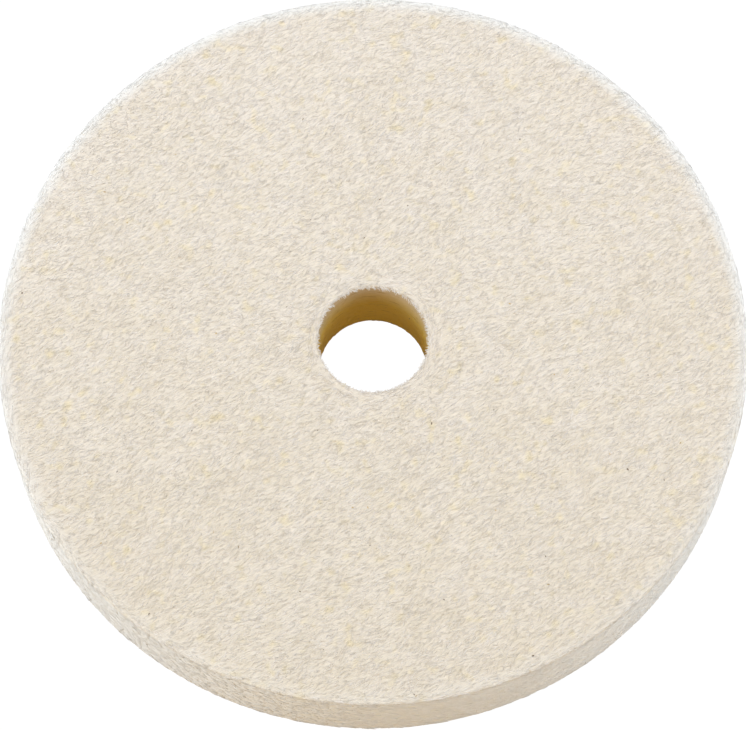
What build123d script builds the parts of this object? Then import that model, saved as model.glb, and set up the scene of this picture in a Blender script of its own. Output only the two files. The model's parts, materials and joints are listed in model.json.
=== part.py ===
"""A pressed-felt polishing wheel: one disc of hard white wool felt with a plain bore.

Frame: millimetres, +Z up. The wheel lies flat on its back face. The origin is the centre of
the bore on that face, and the wheel's spin axis is +Z.
"""

import os

from build123d import *

# Driving dimensions (mm)
wheel_diameter = 150.0
wheel_thickness = 20.0
bore_diameter = 22.2  # a 7/8 in spindle or flange spigot, with a sliding fit
rim_edge_radius = 0.6  # where the two flat faces turn over into the polishing rim
bore_lip_radius = 0.5  # the lip where the punched bore opens on each face

os.makedirs("parts", exist_ok=True)

# The wheel is cut from one thick sheet of felt: a round blank, then a bore punched through it.
with BuildPart() as felt_wheel:
    with BuildSketch(Plane.XY):
        Circle(wheel_diameter / 2)
        Circle(bore_diameter / 2, mode=Mode.SUBTRACT)
    extrude(amount=wheel_thickness)

    # The four circular edges, from the small bore pair to the large rim pair.
    circles = felt_wheel.edges().filter_by(GeomType.CIRCLE).group_by(SortBy.RADIUS)
    bore_edges, rim_edges = circles[0], circles[-1]
    fillet(rim_edges, radius=rim_edge_radius)
    fillet(bore_edges, radius=bore_lip_radius)

felt_wheel.part.label = "felt_wheel"
export_step(felt_wheel.part, "parts/felt_wheel.step")

bore_wall_length = wheel_thickness - 2 * bore_lip_radius
print(f"felt_wheel: {felt_wheel.part.volume / 1000:.1f} cm3 of felt")
print(f"bore wall: {bore_wall_length:.2f} mm long, radius {bore_diameter / 2:.2f} mm")
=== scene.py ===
# %% [markdown]
# # A felt polishing wheel
# A polishing wheel of this kind is one disc of hard wool felt. Wool fibres are wetted, pressed and
# rubbed until they lock into a board, the board is cut into a round blank, and a bore is punched
# through the middle for the spindle. There is nothing else in it: all of its character is in the
# combed surface, the rubbed edges, whose white is partly painted highlight, and the wall of the
# bore, which is painted tan as shade.
#
# The lesson builds that surface in layers, as the real one is: a solid body first, then thousands
# of short locks of wool lying one way on the faces, then the frayed lips of the bore and a few
# loose hairs.

import json
import math

import bpy
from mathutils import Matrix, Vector


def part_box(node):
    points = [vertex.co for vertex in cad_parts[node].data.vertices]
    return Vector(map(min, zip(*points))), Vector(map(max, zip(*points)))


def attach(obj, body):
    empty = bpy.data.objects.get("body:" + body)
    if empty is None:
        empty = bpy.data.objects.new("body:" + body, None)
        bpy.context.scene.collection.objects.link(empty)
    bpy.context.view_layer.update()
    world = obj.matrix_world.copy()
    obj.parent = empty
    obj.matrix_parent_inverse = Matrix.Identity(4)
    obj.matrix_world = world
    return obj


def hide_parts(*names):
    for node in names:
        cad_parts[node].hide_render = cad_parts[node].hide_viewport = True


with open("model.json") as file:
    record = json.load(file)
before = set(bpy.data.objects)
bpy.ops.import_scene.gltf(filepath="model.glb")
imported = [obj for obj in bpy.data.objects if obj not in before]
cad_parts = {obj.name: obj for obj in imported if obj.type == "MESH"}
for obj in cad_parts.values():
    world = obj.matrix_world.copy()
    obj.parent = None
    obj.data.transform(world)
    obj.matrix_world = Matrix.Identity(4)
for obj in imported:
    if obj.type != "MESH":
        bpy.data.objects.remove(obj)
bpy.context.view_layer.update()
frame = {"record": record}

# %% [markdown]
# ## Sizes
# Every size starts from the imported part: its box gives the diameter and the thickness, and its
# record gives the bore. The wheel lies flat, so its thickness runs up +Z from the floor.

# %% Read the sizes of the wheel
mm = 0.001
low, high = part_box("felt_wheel")
wheel_radius = (high[0] - low[0]) / 2
thickness = high[2] - low[2]
bore_mount = next(m for m in frame["record"]["mounts"] if m["name"] == "bore")
bore_radius = bore_mount["dims"]["r_mm"] * mm
print(f"wheel {2 * wheel_radius / mm:.1f} x {thickness / mm:.1f} mm, bore {2 * bore_radius / mm:.1f} mm")

# %% [markdown]
# ## Camera
# The wheel is seen from high in front of it, with a long lens, so that its round face stays nearly
# round. The camera is placed by how far it stands from a point on the upper face, and how high
# above the face it looks from.

# %% Place the camera
camera_distance = 680.7 * mm
camera_elevation = math.radians(70.78)
camera_roll = math.radians(0.44)
camera_aim = Vector((0, -5.46 * mm, thickness))

toward_camera = Vector((0, -math.cos(camera_elevation), math.sin(camera_elevation)))
camera = bpy.data.objects.new("camera", bpy.data.cameras.new("camera"))
bpy.context.collection.objects.link(camera)
camera.data.lens = 164.5
camera.data.sensor_width = 36
camera.data.clip_end = 20
camera.location = camera_aim + toward_camera * camera_distance
camera.rotation_euler = toward_camera.to_track_quat("Z", "Y").to_euler()
camera.rotation_euler.rotate_axis("Z", camera_roll)
bpy.context.scene.camera = camera
print("camera at", [round(v, 3) for v in camera.location])

# %% [markdown]
# ## Working with node trees
# Shader groups, materials and geometry nodes are all trees of nodes. One helper adds a node, sets
# it up and wires it in one go, so that each tree below reads from top to bottom like a recipe.

# %% Helpers for node trees
def add_node(tree, kind, inputs=None, **settings):
    """Adds a node, gives it its settings, and feeds its inputs from sockets or plain values."""
    node = tree.nodes.new(kind)
    for label, value in settings.items():
        setattr(node, label, value)
    for label, value in (inputs or {}).items():
        by_number = isinstance(label, int)
        socket = node.inputs[label] if by_number else named(node.inputs, label)
        if isinstance(value, bpy.types.NodeSocket):
            tree.links.new(value, socket)
        else:
            socket.default_value = value
    return node


def named(sockets, label):
    """The socket of that name that is in use, as many nodes hide spare ones of the same name."""
    return next(s for s in sockets if s.name == label and s.enabled)


def maths(tree, operation, *values, **settings):
    """One step of arithmetic on sockets or numbers."""
    node = add_node(tree, "ShaderNodeMath", dict(enumerate(values)), operation=operation, **settings)
    return node.outputs[0]


def new_group(name, kind, inputs, outputs):
    """A node group with named inputs, each with a starting value, and named outputs."""
    group = bpy.data.node_groups.new(name, kind)
    for label, sort, value in inputs:
        socket = group.interface.new_socket(label, in_out="INPUT", socket_type="NodeSocket" + sort)
        if value is not None:
            socket.default_value = value
    for label, sort in outputs:
        group.interface.new_socket(label, in_out="OUTPUT", socket_type="NodeSocket" + sort)
    return group, group.nodes.new("NodeGroupInput").outputs, group.nodes.new("NodeGroupOutput").inputs


# %% [markdown]
# ### Colours and noise
# The shading trees mix colours, make cloudy noise, move values from one range to another and use
# each other as groups, so each of these has a helper too.

# %% Helpers for colours
def blend(tree, amount, first, second):
    """Mixes two colours, each a socket or a plain colour."""
    node = add_node(tree, "ShaderNodeMix", {"Factor": amount}, data_type="RGBA", clamp_factor=True)
    for label, value in (("A", first), ("B", second)):
        if isinstance(value, bpy.types.NodeSocket):
            tree.links.new(value, named(node.inputs, label))
        else:
            named(node.inputs, label).default_value = value
    return named(node.outputs, "Result")


def noise(tree, vector, width, detail=2.0):
    """Cloudy noise, 0.5 on average, in lumps about width across."""
    made = add_node(tree, "ShaderNodeTexNoise", {"Vector": vector, "Scale": 1 / width, "Detail": detail})
    return made.outputs["Fac"]


def spread(tree, value, low_from, high_from, low_to, high_to, kind="LINEAR"):
    """Moves a value from one range to another, and holds it inside that range."""
    ends = {"From Min": low_from, "From Max": high_from, "To Min": low_to, "To Max": high_to}
    made = add_node(tree, "ShaderNodeMapRange", {"Value": value, **ends}, interpolation_type=kind)
    return made.outputs["Result"]


def use_group(tree, group, inputs):
    """Places a shader group in another tree, and gives back its outputs."""
    node = add_node(tree, "ShaderNodeGroup", node_tree=group)
    for label, value in inputs.items():
        if isinstance(value, bpy.types.NodeSocket):
            tree.links.new(value, node.inputs[label])
        else:
            node.inputs[label].default_value = value
    return node.outputs


# %% [markdown]
# ## Floor
# The floor is stage, not part of the wheel. It is white enough to bounce light back up onto the
# rim, except in front, where it is tinted tan so that the light it throws up warms the front of
# the rim. A Light Path node lets the camera see all of it as clean white paper, even under the
# wheel and through the bore.

# %% Lay the floor
floor_size = 6.0
floor_gap = 0.7 * mm  # keeps the felt's uneven lower face from poking through
plain_paper = (0.85, 0.86, 0.87, 1)
tan_paper = (0.64, 0.50, 0.29, 1)

bpy.ops.object.select_all(action="DESELECT")
bpy.ops.mesh.primitive_plane_add(size=floor_size, location=(0, 0, low[2] - floor_gap))
floor = bpy.context.object
floor.name = "floor"

paper = bpy.data.materials.new("white_paper")
paper.use_nodes = True
tree = paper.node_tree
tree.nodes.clear()
place = add_node(tree, "ShaderNodeTexCoord").outputs["Object"]
direction = add_node(tree, "ShaderNodeVectorMath", {0: place}, operation="NORMALIZE").outputs[0]
direction = add_node(tree, "ShaderNodeSeparateXYZ", {0: direction}).outputs
forward = maths(tree, "MULTIPLY", direction["Y"], -1.0)  # 1 straight in front of the wheel
in_front = spread(tree, forward, 0.80, 1.0, 0.0, 1.0)
paper_colour = blend(tree, in_front, plain_paper, tan_paper)
matt = add_node(tree, "ShaderNodeBsdfDiffuse", {"Color": paper_colour})
clean = add_node(tree, "ShaderNodeEmission", {"Strength": 1.05})
seen = add_node(tree, "ShaderNodeLightPath")
either = add_node(
    tree, "ShaderNodeMixShader", {0: seen.outputs["Is Camera Ray"], 1: matt.outputs[0], 2: clean.outputs[0]}
)
add_node(tree, "ShaderNodeOutputMaterial", {"Surface": either.outputs[0]})
floor.data.materials.append(paper)

# %% [markdown]
# ## Light
# A product table is a tent of soft white light. One wide lamp hangs over the wheel, a little behind
# it. Long low lamps stand behind it and at each side, the side ones slightly forward so that they
# light the rim. Only a weak, warmer one stands in front, so the rim facing the camera is the
# darkest and yellowest felt.

# %% Hang the lamps
def soft_lamp(name, place, size, power, colour=(1, 1, 1)):
    """A rectangular area lamp that faces the wheel."""
    data = bpy.data.lights.new(name, "AREA")
    data.shape = "RECTANGLE"
    data.size, data.size_y = size
    data.energy = power
    data.color = colour
    lamp = bpy.data.objects.new(name, data)
    bpy.context.collection.objects.link(lamp)
    lamp.location = place
    lamp.rotation_euler = Vector(place).to_track_quat("Z", "Y").to_euler()


soft_lamp("overhead", (0, 0.45, 1.25), (1.1, 0.9), 8.05)
soft_lamp("left_side", (-0.9, -0.25, 0.30), (0.7, 0.6), 7.2, colour=(0.84, 0.93, 1.0))
soft_lamp("right_side", (0.9, -0.15, 0.30), (0.7, 0.6), 5.4, colour=(0.84, 0.93, 1.0))
soft_lamp("behind", (0, 1.0, 0.75), (1.4, 0.6), 5.2)
soft_lamp("front", (0, -1.0, 0.22), (0.7, 0.4), 1.9, colour=(1.0, 0.58, 0.12))

world = bpy.data.worlds.new("tent")
bpy.context.scene.world = world
world.use_nodes = True
world.node_tree.nodes["Background"].inputs["Color"].default_value = (1, 1, 1, 1)
world.node_tree.nodes["Background"].inputs["Strength"].default_value = 0.22
bpy.context.scene.view_settings.view_transform = "Standard"

# %% [markdown]
# ## The felt body
# On a lathe the wheel would be turned from its half section, and that is also the shortest way to
# model it: one rectangle from the bore to the rim, its four corners rounded a little, its sides
# divided into short steps, then spun once round the axis. Spinning gives rings of nearly square
# faces, which the felt's unevenness can move later.

# %% Helpers for working in edit mode
def start_piece(name):
    """Names the new primitive and makes it the only selected object."""
    piece = bpy.context.object
    piece.name = piece.data.name = name
    bpy.ops.object.select_all(action="DESELECT")
    piece.select_set(True)
    bpy.context.view_layer.objects.active = piece
    return piece


def pick(piece, kind, test):
    """Selects the verts, edges or faces whose middle passes a test, in edit mode."""
    bpy.ops.mesh.select_mode(type=kind)
    bpy.ops.mesh.select_all(action="DESELECT")
    bpy.ops.object.mode_set(mode="OBJECT")
    mesh = piece.data
    if kind == "VERT":
        for vert in mesh.vertices:
            vert.select = test(vert.co)
    elif kind == "EDGE":
        for edge in mesh.edges:
            ends = [mesh.vertices[i].co for i in edge.vertices]
            edge.select = test((ends[0] + ends[1]) / 2, ends[1] - ends[0])
    else:
        for face in mesh.polygons:
            face.select = test(face.center, face.normal)
    bpy.ops.object.mode_set(mode="EDIT")


def report(piece):
    """Prints how big a finished piece is."""
    piece.data.calc_loop_triangles()
    size = " x ".join(f"{v / mm:.1f}" for v in piece.dimensions)
    print(f"{piece.name}: {len(piece.data.loop_triangles)} triangles, {size} mm")


# %% Turn the body from its half section
rim_rounding = 0.6 * mm
lip_rounding = 0.5 * mm
ring_step = 1.0 * mm
turns = 360  # faces round each ring, about 1.3 mm long at the rim

wall = wheel_radius - bore_radius
middle = (wheel_radius + bore_radius) / 2
bpy.ops.mesh.primitive_plane_add(
    size=1, location=(middle, 0, low[2] + thickness / 2), rotation=(math.pi / 2, 0, 0)
)
body = start_piece("felt_body")
body.scale = (wall, thickness, 1)
bpy.ops.object.transform_apply(location=True, rotation=True, scale=True)

bpy.ops.object.mode_set(mode="EDIT")
pick(body, "VERT", lambda co: co.x > middle)
bpy.ops.mesh.bevel(offset=rim_rounding, segments=4, affect="VERTICES")
pick(body, "VERT", lambda co: co.x < bore_radius + lip_rounding / 2)
bpy.ops.mesh.bevel(offset=lip_rounding, segments=3, affect="VERTICES")
bpy.ops.mesh.select_all(action="SELECT")
bpy.ops.mesh.delete(type="ONLY_FACE")


def divide(length, test):
    """Cuts the picked straight edges, of one length, into steps of about ring_step."""
    pick(body, "EDGE", test)
    bpy.ops.mesh.subdivide(number_cuts=round(length / ring_step) - 1)


divide(wall, lambda mid, run: abs(run.x) > wall / 2)
divide(thickness, lambda mid, run: mid.x > middle and abs(run.z) > thickness / 2)
divide(thickness, lambda mid, run: mid.x < middle and abs(run.z) > thickness / 2)
bpy.ops.object.mode_set(mode="OBJECT")

# the modifier numbers its faces the same way each time, so the locks fall in the same places
bpy.ops.object.modifier_add(type="SCREW")
sweep = body.modifiers[-1]
sweep.axis = "Z"
sweep.angle = 2 * math.pi
sweep.steps = turns
sweep.render_steps = turns
sweep.use_merge_vertices = True
sweep.merge_threshold = 0.01 * mm
bpy.ops.object.modifier_apply(modifier=sweep.name)
bpy.ops.object.mode_set(mode="EDIT")
bpy.ops.mesh.select_all(action="SELECT")
bpy.ops.mesh.remove_doubles(threshold=0.01 * mm)
bpy.ops.mesh.normals_make_consistent(inside=False)
bpy.ops.object.mode_set(mode="OBJECT")
bpy.ops.object.shade_smooth()
report(body)

# %% [markdown]
# ### Unevenness
# Felt is never dead flat. It swells and dips by a tenth of a millimetre or two over a few
# centimetres where the board was denser, and its surface is pebbled every few millimetres. Two
# Displace modifiers with cloud textures do this, a broad one and a fine one, and both are applied.

# %% Make the surface uneven
def unevenness(piece, name, width, height, depth):
    """Moves a piece's surface in and out by up to half of height, in lumps about width across."""
    lumps = bpy.data.textures.new(name, "CLOUDS")
    lumps.noise_scale = width
    lumps.noise_depth = depth
    step = piece.modifiers.new(name, "DISPLACE")
    step.texture = lumps
    step.texture_coords = "LOCAL"
    step.strength = height
    step.mid_level = 0.5
    bpy.ops.object.modifier_apply(modifier=step.name)


unevenness(body, "broad_swell", 28 * mm, 0.12 * mm, 1)
unevenness(body, "pebbling", 2.4 * mm, 0.05 * mm, 2)
report(body)

# %% [markdown]
# ## Zones of the wheel
# The faces, the rim and the bore don't look alike. The rim was cut, so its fibres are packed tight
# and even in colour. Along the two rim edges the fibres are rubbed loose and turn white, and the same
# zone carries a painted highlight. The wall of the bore is painted tan as shade, standing for the
# shade and warm bounced light inside the hole. One group works out these zones from the place alone.

# %% Build the zones group
# the rubbed white along the edges is partly rubbed wool and partly painted highlight
rubbed_width = 3.6 * mm  # how far from a rim edge the rubbed, whiter wool reaches

zones, given, put_out = new_group(
    "zones", "ShaderNodeTree", [("Vector", "Vector", None)],
    [("Rim", "Float"), ("Edge", "Float"), ("Bore Shade", "Float")],
)
place = add_node(zones, "ShaderNodeSeparateXYZ", {0: given["Vector"]}).outputs
across_place = add_node(zones, "ShaderNodeCombineXYZ", {"X": place["X"], "Y": place["Y"]}).outputs[0]
radius = add_node(zones, "ShaderNodeVectorMath", {0: across_place}, operation="LENGTH").outputs["Value"]
from_middle = maths(zones, "ABSOLUTE", maths(zones, "SUBTRACT", place["Z"], thickness / 2))
from_face = maths(zones, "SUBTRACT", thickness / 2, from_middle)
from_rim = maths(zones, "SUBTRACT", wheel_radius, radius)

outermost = spread(zones, from_rim, 0.3 * mm, 0.6 * mm, 1.0, 0.0)
below_edge = spread(zones, from_face, 0.2 * mm, 0.8 * mm, 0.0, 1.0)
on_rim = maths(zones, "MULTIPLY", outermost, below_edge)
zones.links.new(on_rim, put_out["Rim"])

reach = maths(zones, "ADD", maths(zones, "POWER", from_rim, 2.0), maths(zones, "POWER", from_face, 2.0))
reach = maths(zones, "SQRT", reach)
near_edge = spread(zones, reach, 0.0, rubbed_width, 1.0, 0.0, "SMOOTHSTEP")
less_on_rim = spread(zones, on_rim, 0.0, 1.0, 1.0, 0.3)
zones.links.new(maths(zones, "MULTIPLY", near_edge, less_on_rim), put_out["Edge"])

# the bore wall, up to a ragged line just below the lip: the zone painted tan as shade
in_bore = spread(zones, radius, bore_radius + 0.25 * mm, bore_radius + 0.50 * mm, 1.0, 0.0)
ragged = spread(zones, noise(zones, given["Vector"], 1.6 * mm), 0.3, 0.7, -0.30 * mm, 0.45 * mm)
ragged_depth = maths(zones, "ADD", from_face, ragged)
below_lip = spread(zones, ragged_depth, 0.0, 0.6 * mm, 0.0, 1.0)
zones.links.new(maths(zones, "MULTIPLY", in_bore, below_lip), put_out["Bore Shade"])
print("zones:", len(zones.nodes), "nodes")

# %% [markdown]
# ## Grain
# Single fibres lie along the comb's direction on the faces, and round the wheel on the rim and in
# the bore. Noise that is squeezed one way in its coordinates comes out drawn out that way, so this
# group turns a place into squeezed coordinates: along the comb for a face, and level for a wall.

# %% Build the grain group
comb_angle = math.radians(29.4)
squeeze = 0.15

grain, given, put_out = new_group(
    "grain", "ShaderNodeTree",
    [("Vector", "Vector", None), ("Angle", "Float", comb_angle)],
    [("Vector", "Vector")],
)
back_turn = maths(grain, "MULTIPLY", given["Angle"], -1.0)
turned = add_node(
    grain, "ShaderNodeVectorRotate", {"Vector": given["Vector"], "Angle": back_turn},
    rotation_type="Z_AXIS",
).outputs[0]
on_face = add_node(grain, "ShaderNodeVectorMath", {0: turned, 1: (squeeze, 1, 1)}, operation="MULTIPLY")
on_wall = add_node(
    grain, "ShaderNodeVectorMath", {0: given["Vector"], 1: (squeeze, squeeze, 1)}, operation="MULTIPLY"
)
zone = use_group(grain, zones, {"Vector": given["Vector"]})
upright = maths(grain, "MAXIMUM", zone["Rim"], zone["Bore Shade"])
squeezed = add_node(
    grain, "ShaderNodeMix", {"Factor": upright, "A": on_face.outputs[0], "B": on_wall.outputs[0]},
    data_type="VECTOR",
)
grain.links.new(named(squeezed.outputs, "Result"), put_out["Vector"])
print("grain:", len(grain.nodes), "nodes")

# %% [markdown]
# ## Colour of the wool
# Undyed wool isn't one colour. Where the cover is thick it is pale, nearly white, and where it is
# thin the yellower, darker felt below shows through, so dark and yellow go together. The colour is
# also made darker and yellower toward the front of the wheel, as painted shade for the weaker,
# warmer light there. Here and there a tuft kept some grease and stayed yellow, and every single
# strand is a shade lighter or darker than the next. The group below puts out that colour from a place
# and a depth. The body and every lock of wool use it, so that they match.

# %% Build the wool colour group
pale_wool = (0.890, 0.824, 0.765, 1)
deep_wool = (0.740, 0.630, 0.450, 1)
greasy_wool = (0.870, 0.740, 0.450, 1)
blotch_width = 3.5 * mm
patch_width = 16 * mm
tuft_width = 2.6 * mm
strand_width = 0.22 * mm

wool_colour, given, put_out = new_group(
    "wool_colour", "ShaderNodeTree",
    [("Vector", "Vector", None), ("Depth", "Float", 0.3)], [("Color", "Color")],
)
blotches = noise(wool_colour, given["Vector"], blotch_width, 3.0)
blotches = spread(wool_colour, blotches, 0.3, 0.7, -0.10, 0.10)
patches = noise(wool_colour, given["Vector"], patch_width)
patches = spread(wool_colour, patches, 0.3, 0.7, -0.04, 0.04)
place = add_node(wool_colour, "ShaderNodeSeparateXYZ", {0: given["Vector"]}).outputs
# painted shade: darker and yellower toward the front of the wheel, where the weaker, warmer light falls
front_shade = spread(wool_colour, place["Y"], -wheel_radius, wheel_radius, 0.12, -0.07)
depth = maths(wool_colour, "ADD", maths(wool_colour, "ADD", blotches, patches), front_shade)
depth = maths(wool_colour, "ADD", depth, given["Depth"])
tufts = noise(wool_colour, given["Vector"], tuft_width, 1.0)
tufts = spread(wool_colour, tufts, 0.60, 0.80, 0.0, 0.5)
wool = blend(wool_colour, depth, pale_wool, deep_wool)
wool = blend(wool_colour, tufts, wool, greasy_wool)

# single strands, each a shade lighter or darker
strands = use_group(wool_colour, grain, {"Vector": given["Vector"]})["Vector"]
strands = noise(wool_colour, strands, strand_width, 1.0)
strands = spread(wool_colour, strands, 0.3, 0.7, 0.895, 1.085)
wool = add_node(wool_colour, "ShaderNodeHueSaturation", {"Color": wool, "Value": strands})
wool_colour.links.new(wool.outputs["Color"], put_out["Color"])
print("wool colour:", len(wool_colour.nodes), "nodes")

# %% [markdown]
# ## Colour of the felt
# This last colour group puts the two together: the wool colour, evened out on the rim, whiter along
# the edges, and painted tan in the bore as shade. That painted shade is greyest near the upper lip
# and a strong orange tan deeper in, and has darker streaks that run round the bore, where the punch
# dragged. The white along the edges is partly rubbed wool and partly painted highlight, strongest at
# the back of the wheel.

# %% Build the felt colour group
streak_width = 3.2 * mm
white_wool_and_highlight = (0.93, 0.92, 0.90, 1)
rim_tint = (0.82, 0.80, 0.77, 1)
bore_shade_at_lip = (0.61, 0.47, 0.30, 1)
bore_shade_deep_in = (0.80, 0.56, 0.105, 1)
bore_streak_shaded = (0.40, 0.25, 0.06, 1)

felt_colour, given, put_out = new_group(
    "felt_colour", "ShaderNodeTree", [("Vector", "Vector", None), ("Depth", "Float", 0.3)],
    [("Color", "Color"), ("Bore Shade", "Float")],
)
zone = use_group(felt_colour, zones, {"Vector": given["Vector"]})
wool = use_group(felt_colour, wool_colour, {"Vector": given["Vector"], "Depth": given["Depth"]})
rim_wool = blend(felt_colour, 0.65, wool["Color"], rim_tint)
felt = blend(felt_colour, zone["Rim"], wool["Color"], rim_wool)
place = add_node(felt_colour, "ShaderNodeSeparateXYZ", {0: given["Vector"]}).outputs
# painted highlight: the rubbed white along the edges is made strongest at the back, where the lamps behind
# light it
back_highlight = spread(felt_colour, place["Y"], -60 * mm, 20 * mm, 0.15, 0.95)
worn_and_lit = maths(felt_colour, "MULTIPLY", zone["Edge"], back_highlight)
felt = blend(felt_colour, worn_and_lit, felt, white_wool_and_highlight)

# painted shade in the bore: a greyer tan near the lip turns to a strong orange tan deeper in, for the shade
# and warm bounced light inside the hole; the streaks are darker marks within it
deep_in = spread(felt_colour, place["Z"], thickness - 9 * mm, thickness - 1.2 * mm, 1.0, 0.0)
bore_shade = blend(felt_colour, deep_in, bore_shade_at_lip, bore_shade_deep_in)
squashed = add_node(
    felt_colour, "ShaderNodeVectorMath", {0: given["Vector"], 1: (1, 1, 6)}, operation="MULTIPLY"
)
streaks = noise(felt_colour, squashed.outputs[0], streak_width, 3.0)
streaks = spread(felt_colour, streaks, 0.62, 0.72, 0.0, 0.6)
bore_shade = blend(felt_colour, streaks, bore_shade, bore_streak_shaded)
felt = blend(felt_colour, zone["Bore Shade"], felt, bore_shade)
felt_colour.links.new(felt, put_out["Color"])
felt_colour.links.new(zone["Bore Shade"], put_out["Bore Shade"])
print("felt colour:", len(felt_colour.nodes), "nodes")

# %% [markdown]
# ## Fibre relief
# Between and under the locks the surface is a mat of single fibres, each about a thirtieth of a
# millimetre thick. They are far too many to model, so they are a bump: noise drawn out long one
# way, mixed with a second one drawn out at an angle to it, like fibres that cross.

# %% Build the fibre relief group
relief, given, put_out = new_group(
    "fibre_relief", "ShaderNodeTree",
    [("Vector", "Vector", None), ("Angle", "Float", comb_angle), ("Height", "Float", 0.12 * mm)],
    [("Normal", "Vector")],
)
heights = []
for turn, fineness in ((0.0, 0.26 * mm), (0.3, 0.20 * mm)):
    angle = maths(relief, "ADD", given["Angle"], turn)
    strands = use_group(relief, grain, {"Vector": given["Vector"], "Angle": angle})["Vector"]
    heights.append(noise(relief, strands, fineness, 2.0))
height = maths(relief, "MAXIMUM", *heights)
zone = use_group(relief, zones, {"Vector": given["Vector"]})
upright = maths(relief, "MAXIMUM", zone["Rim"], zone["Bore Shade"])
gentler = spread(relief, upright, 0.0, 1.0, 1.0, 0.45)
bump = add_node(
    relief, "ShaderNodeBump", {"Height": height, "Distance": given["Height"], "Strength": gentler}
)
relief.links.new(bump.outputs["Normal"], put_out["Normal"])
print("fibre relief:", len(relief.nodes), "nodes")


# %% Make the materials
def new_material(name, roughness):
    """A material with a Principled node set up for matt wool, and its object coordinates."""
    made = bpy.data.materials.new(name)
    made.use_nodes = True
    shader = made.node_tree.nodes["Principled BSDF"]
    shader.inputs["Roughness"].default_value = roughness
    shader.inputs["Specular IOR Level"].default_value = 0.15
    shader.inputs["Sheen Weight"].default_value = 0.12
    shader.inputs["Sheen Roughness"].default_value = 0.6
    where = add_node(made.node_tree, "ShaderNodeTexCoord").outputs["Object"]
    return made, made.node_tree, shader, where


ground_felt, tree, shader, where = new_material("ground_felt", 0.95)
felt = use_group(tree, felt_colour, {"Vector": where, "Depth": 0.42})
tree.links.new(felt["Color"], shader.inputs["Base Color"])
tree.links.new(spread(tree, felt["Bore Shade"], 0.0, 1.0, 0.95, 0.7), shader.inputs["Roughness"])
tree.links.new(use_group(tree, relief, {"Vector": where})["Normal"], shader.inputs["Normal"])
body.data.materials.append(ground_felt)

combed_wool, tree, shader, where = new_material("combed_wool", 0.92)
tone = add_node(tree, "ShaderNodeAttribute", attribute_name="tone").outputs["Fac"]
felt = use_group(tree, felt_colour, {"Vector": where, "Depth": maths(tree, "MULTIPLY", tone, 0.4)})
tree.links.new(felt["Color"], shader.inputs["Base Color"])
tree.links.new(use_group(tree, relief, {"Vector": where})["Normal"], shader.inputs["Normal"])

frayed_wool, tree, shader, where = new_material("frayed_wool", 0.9)
tone = add_node(tree, "ShaderNodeAttribute", attribute_name="tone").outputs["Fac"]
wool = use_group(tree, wool_colour, {"Vector": where, "Depth": maths(tree, "MULTIPLY", tone, 0.15)})
# frayed fibres mixed toward white: loose rubbed wool is paler, and along the edges this white also serves
# as painted highlight
tree.links.new(blend(tree, 0.3, wool["Color"], white_wool_and_highlight), shader.inputs["Base Color"])

seed_husk, tree, shader, where = new_material("seed_husk", 0.7)
tone = add_node(tree, "ShaderNodeAttribute", attribute_name="tone").outputs["Fac"]
husk = blend(tree, spread(tree, tone, 0.35, 0.6, 0.0, 1.0), (0.20, 0.14, 0.09, 1), (0.62, 0.46, 0.24, 1))
tree.links.new(husk, shader.inputs["Base Color"])

# %% [markdown]
# ## Three small models
# The combed surface is made of short locks, a few fibres stuck together, about a fifth of a
# millimetre wide and one long. One lock is modelled once, a unit long: a three-sided cylinder
# with its ends drawn out to points. It has only twelve triangles, because there will be over a
# hundred thousand of it. Two more small models join it: a loose hair, which is a thin
# triangle spun through one bend and then back through another, and a bit of seed husk from the
# fleece, a small ball knocked out of shape.

# %% Model a lock, a hair and a husk
bpy.ops.object.select_all(action="DESELECT")
bpy.ops.mesh.primitive_cylinder_add(
    vertices=3, radius=0.5, depth=0.5, end_fill_type="TRIFAN", rotation=(math.pi / 2, 0, math.pi / 2)
)
lock = start_piece("lock_of_wool")
bpy.ops.object.transform_apply(location=True, rotation=True, scale=True)
bpy.ops.object.mode_set(mode="EDIT")
for side in (-1, 1):
    pick(lock, "VERT", lambda co: co.x * side > 0.2 and math.hypot(co.y, co.z) < 0.01)
    bpy.ops.transform.translate(value=(side * 0.25, 0, 0))
bpy.ops.mesh.select_all(action="SELECT")
bpy.ops.transform.translate(value=(0.5, 0, 0))
bpy.ops.mesh.normals_make_consistent(inside=False)
bpy.ops.object.mode_set(mode="OBJECT")
print("lock:", len(lock.data.polygons), "faces")

bpy.ops.mesh.primitive_circle_add(vertices=3, radius=0.008, fill_type="NGON", rotation=(0, math.pi / 2, 0))
hair = start_piece("loose_hair")
bpy.ops.object.transform_apply(location=True, rotation=True, scale=True)
bpy.ops.object.mode_set(mode="EDIT")
bpy.ops.mesh.select_all(action="SELECT")
first_bend, first_radius = 1.5, 0.36
bpy.ops.mesh.spin(steps=7, angle=first_bend, center=(0, first_radius, 0), axis=(0, 0, 1))
end = Vector((first_radius * math.sin(first_bend), first_radius - first_radius * math.cos(first_bend), 0))
second_bend, second_radius = 1.3, 0.5
to_centre = Vector((math.sin(first_bend), -math.cos(first_bend), 0))
second_centre = end + second_radius * to_centre
bpy.ops.mesh.spin(steps=7, angle=-second_bend, center=second_centre, axis=(0, 0, 1))
bpy.ops.mesh.select_all(action="SELECT")
bpy.ops.mesh.normals_make_consistent(inside=False)
bpy.ops.object.mode_set(mode="OBJECT")
print("hair:", len(hair.data.polygons), "faces", [round(v, 2) for v in hair.dimensions])

bpy.ops.mesh.primitive_ico_sphere_add(subdivisions=2, radius=0.5)
husk = start_piece("seed_husk")
bpy.ops.object.mode_set(mode="EDIT")
bpy.ops.mesh.select_all(action="SELECT")
bpy.ops.transform.vertex_random(offset=0.14, seed=3)
bpy.ops.object.mode_set(mode="OBJECT")
print("husk:", len(husk.data.polygons), "faces")

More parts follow.
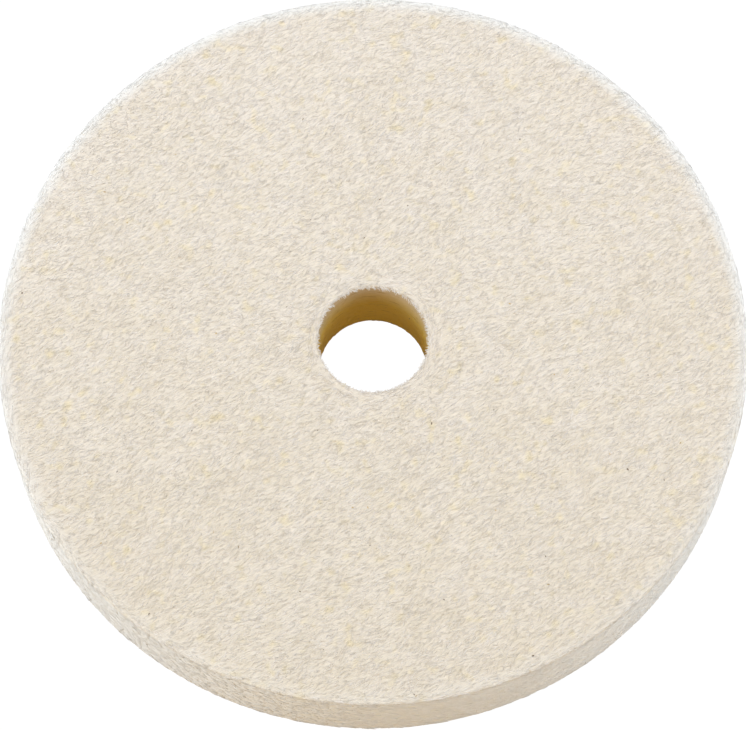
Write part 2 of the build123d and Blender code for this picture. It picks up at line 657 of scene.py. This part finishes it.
# %% [markdown]
# ## Combing
# A geometry node group scatters the locks over a piece of the body's skin. Each lock is stood on
# the skin, turned to lie along the comb's direction with a little stray to either side, tipped up
# so that its far end stands proud, and given its own length, width and tone. Near the rim and near
# the bore the comb's direction gives way to the direction round the wheel, as cut edges are rubbed
# down. The skin itself is left behind, so the finished piece is nothing but wool. Each lock also
# gets its own small square of the texture map that an export bakes, so that no two share colours.

# %% Build the combing group
comb_inputs = [
    ("Geometry", "Geometry", None),
    ("Lock", "Object", None),
    ("Wool", "Material", None),
    ("Density", "Float", 1.0),
    ("Seed", "Int", 0),
    ("Lay", "Float", comb_angle),
    ("Inward", "Float", 0.0),
    ("Stray", "Float", 0.5),
    ("Edge Stray", "Float", 0.2),
    ("Lift Min", "Float", 0.0),
    ("Lift Max", "Float", 0.1),
    ("Length Min", "Float", 0.001),
    ("Length Max", "Float", 0.002),
    ("Width Min", "Float", 0.0002),
    ("Width Max", "Float", 0.0004),
    ("Flatness", "Float", 1.0),
    ("Squares", "Float", 128.0),
]
comb, given, put_out = new_group("comb", "GeometryNodeTree", comb_inputs, [("Geometry", "Geometry")])


def random_value(low_end, high_end, salt):
    """A random number for each lock, between two ends. Salt keeps one kind from matching another."""
    ends = {"Min": low_end, "Max": high_end, "Seed": maths(comb, "ADD", given["Seed"], salt)}
    return named(add_node(comb, "FunctionNodeRandomValue", ends).outputs, "Value")


def vector_maths(operation, first, second, result="Vector"):
    """One step of arithmetic on vectors."""
    node = add_node(comb, "ShaderNodeVectorMath", {0: first, 1: second}, operation=operation)
    return node.outputs[result]


def scaled(vector, amount):
    """A vector made longer or shorter."""
    return add_node(
        comb, "ShaderNodeVectorMath", {0: vector, "Scale": amount}, operation="SCALE"
    ).outputs["Vector"]


scatter = add_node(
    comb,
    "GeometryNodeDistributePointsOnFaces",
    {"Mesh": given["Geometry"], "Density": given["Density"], "Seed": given["Seed"]},
)

# the comb's direction wanders by a few degrees over the face
place = add_node(comb, "GeometryNodeInputPosition").outputs[0]
wander = add_node(comb, "ShaderNodeTexNoise", {"Vector": place, "Scale": 1 / (30 * mm), "Detail": 1.0})
wander = spread(comb, wander.outputs[0], 0.3, 0.7, -0.16, 0.16)
angle = maths(comb, "ADD", given["Lay"], wander)
lay = add_node(
    comb, "ShaderNodeCombineXYZ", {"X": maths(comb, "COSINE", angle), "Y": maths(comb, "SINE", angle)}
).outputs[0]

# round the wheel, the same way as the comb where they are nearly in line
flat_place = vector_maths("MULTIPLY", place, (1, 1, 0))
radius = vector_maths("LENGTH", flat_place, (0, 0, 0), "Value")
outward = add_node(comb, "ShaderNodeVectorMath", {0: flat_place}, operation="NORMALIZE").outputs[0]
along_rim = vector_maths("CROSS_PRODUCT", (0, 0, 1), outward)
same_way = maths(comb, "SIGN", vector_maths("DOT_PRODUCT", lay, along_rim, "Value"))
round_wheel = scaled(along_rim, same_way)
near_rim = spread(comb, radius, wheel_radius - 2.4 * mm, wheel_radius - 0.9 * mm, 0.0, 1.0, "SMOOTHSTEP")
near_bore = spread(comb, radius, bore_radius + 1.2 * mm, bore_radius + 3.5 * mm, 1.0, 0.0, "SMOOTHSTEP")
turning = maths(comb, "MAXIMUM", near_rim, near_bore)
lie = vector_maths("ADD", scaled(lay, maths(comb, "SUBTRACT", 1.0, turning)), scaled(round_wheel, turning))
lie = vector_maths("SUBTRACT", lie, scaled(outward, given["Inward"]))

turned = add_node(
    comb,
    "FunctionNodeAlignRotationToVector",
    {"Rotation": scatter.outputs["Rotation"], "Vector": lie},
    axis="X",
    pivot_axis="Z",
)
either_side = maths(comb, "ADD", random_value(-1.0, 1.0, 1), random_value(-1.0, 1.0, 6))
either_side = maths(comb, "MULTIPLY", either_side, 0.5)
amount = add_node(comb, "ShaderNodeMix", {"Factor": turning, "A": given["Stray"], "B": given["Edge Stray"]})
stray = maths(comb, "MULTIPLY", either_side, named(amount.outputs, "Result"))
lift = maths(comb, "MULTIPLY", random_value(given["Lift Min"], given["Lift Max"], 2), -1.0)
tip_up = add_node(comb, "ShaderNodeCombineXYZ", {"Y": lift, "Z": stray}).outputs[0]
tipped = add_node(
    comb,
    "FunctionNodeRotateRotation",
    {
        "Rotation": turned.outputs[0],
        "Rotate By": add_node(comb, "FunctionNodeEulerToRotation", {"Euler": tip_up}).outputs[0],
    },
    rotation_space="LOCAL",
)
width = random_value(given["Width Min"], given["Width Max"], 4)
size = add_node(
    comb,
    "ShaderNodeCombineXYZ",
    {
        "X": random_value(given["Length Min"], given["Length Max"], 3),
        "Y": width,
        "Z": maths(comb, "MULTIPLY", width, given["Flatness"]),
    },
)

model = add_node(comb, "GeometryNodeObjectInfo", {"Object": given["Lock"]}).outputs["Geometry"]
model = add_node(
    comb,
    "GeometryNodeStoreNamedAttribute",
    {"Geometry": model, "Name": "along", "Value": add_node(comb, "GeometryNodeInputPosition").outputs[0]},
    data_type="FLOAT_VECTOR",
    domain="POINT",
).outputs[0]
locks = add_node(
    comb,
    "GeometryNodeInstanceOnPoints",
    {
        "Points": scatter.outputs["Points"],
        "Instance": model,
        "Rotation": tipped.outputs[0],
        "Scale": size.outputs[0],
    },
).outputs[0]
number = add_node(comb, "GeometryNodeInputIndex").outputs[0]
for name, value in (("tone", random_value(0.0, 1.0, 5)), ("number", number)):
    locks = add_node(
        comb,
        "GeometryNodeStoreNamedAttribute",
        {"Geometry": locks, "Name": name, "Value": value},
        data_type="FLOAT",
        domain="INSTANCE",
    ).outputs[0]
wool = add_node(comb, "GeometryNodeRealizeInstances", {"Geometry": locks}).outputs[0]

square = add_node(comb, "GeometryNodeInputNamedAttribute", {"Name": "number"}, data_type="FLOAT")
number = named(square.outputs, "Attribute")
along = add_node(comb, "GeometryNodeInputNamedAttribute", {"Name": "along"}, data_type="FLOAT_VECTOR")
part = add_node(comb, "ShaderNodeSeparateXYZ", {0: named(along.outputs, "Attribute")}).outputs
margin = 0.12
column = maths(comb, "MODULO", number, given["Squares"])
row = maths(comb, "FLOOR", maths(comb, "DIVIDE", number, given["Squares"]))


def in_square(first, inside):
    """Where a point falls on the map, from its square's number and its place in the square."""
    kept_in = maths(comb, "MULTIPLY_ADD", inside, 1 - 2 * margin, margin)
    return maths(comb, "DIVIDE", maths(comb, "ADD", first, kept_in), given["Squares"])


across = maths(comb, "ADD", part["Y"], 0.5)
spot = add_node(
    comb, "ShaderNodeCombineXYZ", {"X": in_square(column, part["X"]), "Y": in_square(row, across)}
)
wool = add_node(
    comb,
    "GeometryNodeStoreNamedAttribute",
    {"Geometry": wool, "Name": "OFBake", "Value": spot.outputs[0]},
    data_type="FLOAT2",
    domain="CORNER",
).outputs[0]
for name in ("along", "number"):
    wool = add_node(comb, "GeometryNodeRemoveAttribute", {"Geometry": wool, "Name": name}).outputs[0]
wool = add_node(comb, "GeometryNodeSetShadeSmooth", {"Geometry": wool}).outputs[0]
wool = add_node(comb, "GeometryNodeSetMaterial", {"Geometry": wool, "Material": given["Wool"]}).outputs[0]
comb.links.new(wool, put_out["Geometry"])
print("comb:", len(comb.nodes), "nodes")


# %% Helpers for combing
def take_skin(name, test):
    """A copy of the body with only the faces that pass a test."""
    bpy.ops.object.select_all(action="DESELECT")
    body.select_set(True)
    bpy.context.view_layer.objects.active = body
    bpy.ops.object.duplicate()
    skin = start_piece(name)
    bpy.ops.object.mode_set(mode="EDIT")
    pick(skin, "FACE", lambda centre, normal: not test(centre, normal))
    bpy.ops.mesh.delete(type="FACE")
    bpy.ops.object.mode_set(mode="OBJECT")
    skin.data.materials.clear()
    return skin


combed_pieces = []


def comb_skin(name, test, count, seed, model=lock, wool=combed_wool, **values):
    """Covers the faces of the body that pass a test with count locks, as a new piece."""
    skin = take_skin(name, test)
    area = sum(face.area for face in skin.data.polygons)
    squares = math.ceil(math.sqrt(count * 1.05))
    values |= {
        "Lock": model, "Wool": wool, "Density": count / area, "Seed": seed, "Squares": float(squares)
    }
    step = skin.modifiers.new("comb", "NODES")
    step.node_group = comb
    sockets = {s.name: s.identifier for s in comb.interface.items_tree if s.in_out == "INPUT"}
    for label, value in values.items():
        step[sockets[label]] = value
    bpy.ops.object.modifier_apply(modifier=step.name)
    report(skin)
    made = len(skin.data.polygons) // len(model.data.polygons)
    print(f"  {made} of {model.name} over {area / mm**2:.0f} mm2")
    combed_pieces.append(skin)
    return skin


def on_upper_face(centre, normal):
    return centre.z > thickness / 2 and normal.z > 0.7


def on_lower_face(centre, normal):
    return centre.z < thickness / 2 and normal.z < -0.7


def on_rim_side(centre, normal):
    return math.hypot(centre.x, centre.y) > middle and abs(normal.z) < 0.9


def on_bore_wall(centre, normal):
    return math.hypot(centre.x, centre.y) < middle and abs(normal.z) < 0.5


# %% [markdown]
# ## Wool on the faces
# The upper face gets the most wool: five layers over each other, each with its own seed, so that
# locks cross and half bury each other. The lower face is made the same way but with fewer and
# broader locks, since the wheel lies on it and it is pressed flatter.

# %% Comb the faces
face_nap = {
    "Stray": 0.9, "Lift Min": -0.01, "Lift Max": 0.11, "Flatness": 0.55,
    "Length Min": 0.6 * mm, "Length Max": 1.5 * mm, "Width Min": 0.11 * mm, "Width Max": 0.24 * mm,
}
for layer in range(5):
    comb_skin(f"upper_nap_{layer + 1}", on_upper_face, 15600, 100 * layer + 7, **face_nap)

pressed_nap = face_nap | {"Lift Max": 0.04, "Width Min": 0.25 * mm, "Width Max": 0.45 * mm}
for layer in range(2):
    comb_skin(f"lower_nap_{layer + 1}", on_lower_face, 14000, 100 * layer + 607, **pressed_nap)

# %% [markdown]
# ## Wool on the rim and in the bore
# The rim was cut with a blade that ran round it, so its locks lie round the wheel, longer and much
# flatter. The wall of the bore has a few of the same, lying flat, and they take its painted tan shade.

# %% Comb the rim and the bore
rim_nap = {
    "Edge Stray": 0.25, "Lift Min": 0.0, "Lift Max": 0.025, "Flatness": 0.35,
    "Length Min": 1.2 * mm, "Length Max": 2.8 * mm, "Width Min": 0.18 * mm, "Width Max": 0.38 * mm,
}
comb_skin("rim_nap", on_rim_side, 13500, 807, **rim_nap)
bore_nap = rim_nap | {"Length Min": 0.8 * mm, "Length Max": 2.0 * mm, "Lift Min": -0.02}
comb_skin("bore_nap", on_bore_wall, 1800, 907, **bore_nap)


# %% [markdown]
# ## Frayed edges
# Handling rubs single fibres loose along the rim's two edges and round the upper lip of the bore.
# Along the rim they are short and point every way, which, with the painted highlight in the felt's
# colour, is why the edges look white. At the lip they point into the bore, and stand as a fringe of
# cream against the painted tan shade of the wall.

# %% Fray the edges
def round_upper_edge(centre, normal):
    return math.hypot(centre.x, centre.y) > wheel_radius - 1.2 * mm and centre.z > thickness - 0.3 * mm


def round_lower_edge(centre, normal):
    return math.hypot(centre.x, centre.y) > wheel_radius - 2.2 * mm and centre.z < 0.3 * mm


def round_lips(centre, normal):
    return math.hypot(centre.x, centre.y) < bore_radius + 0.8 * mm and normal.z > 0.5


edge_fuzz = {
    "Edge Stray": 3.0, "Lift Min": 0.0, "Lift Max": 0.06, "Flatness": 0.6,
    "Length Min": 0.2 * mm, "Length Max": 0.5 * mm, "Width Min": 0.08 * mm, "Width Max": 0.14 * mm,
}
comb_skin("upper_edge_fuzz", round_upper_edge, 3000, 1007, wool=frayed_wool, **edge_fuzz)
pressed_fuzz = edge_fuzz | {"Lift Max": 0.04}
comb_skin("lower_edge_fuzz", round_lower_edge, 5000, 1107, wool=frayed_wool, **pressed_fuzz)
lip_fringe = edge_fuzz | {
    "Inward": 2.5, "Edge Stray": 1.1, "Lift Min": -0.1, "Lift Max": 0.1,
    "Length Min": 0.3 * mm, "Length Max": 1.0 * mm, "Width Min": 0.13 * mm, "Width Max": 0.22 * mm,
}
comb_skin("lip_fringe", round_lips, 620, 1207, wool=frayed_wool, **lip_fringe)

# %% [markdown]
# ## Loose hairs and husks
# A few whole hairs lie across the nap, and a few specks of seed husk that the carding missed are
# caught in it, some dark and some the colour of straw.

# %% Scatter hairs and husks
hair_lie = {
    "Stray": 3.1, "Edge Stray": 3.1, "Lift Min": 0.0, "Lift Max": 0.03, "Flatness": 0.9,
    "Length Min": 3 * mm, "Length Max": 7 * mm, "Width Min": 4 * mm, "Width Max": 7 * mm,
}


def well_inside(centre, normal):
    radius = math.hypot(centre.x, centre.y)
    return abs(normal.z) > 0.7 and bore_radius + 8 * mm < radius < wheel_radius - 8 * mm


comb_skin("loose_hairs", well_inside, 260, 1307, model=hair, wool=frayed_wool, **hair_lie)
husk_lie = {
    "Stray": 3.1, "Edge Stray": 0.4, "Flatness": 0.6,
    "Length Min": 0.25 * mm, "Length Max": 0.65 * mm, "Width Min": 0.16 * mm, "Width Max": 0.32 * mm,
}
comb_skin("seed_husks", lambda centre, normal: True, 150, 1407, model=husk, wool=seed_husk, **husk_lie)

for model in (lock, hair, husk):
    bpy.data.objects.remove(model)

# %% [markdown]
# ## Join the frame
# All of these pieces are one solid felt wheel, so each one stands in for the same imported part
# and rides on its body.

# %% Hand the pieces over
for piece in [body, *combed_pieces]:
    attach(piece, "root")
    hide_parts("felt_wheel")
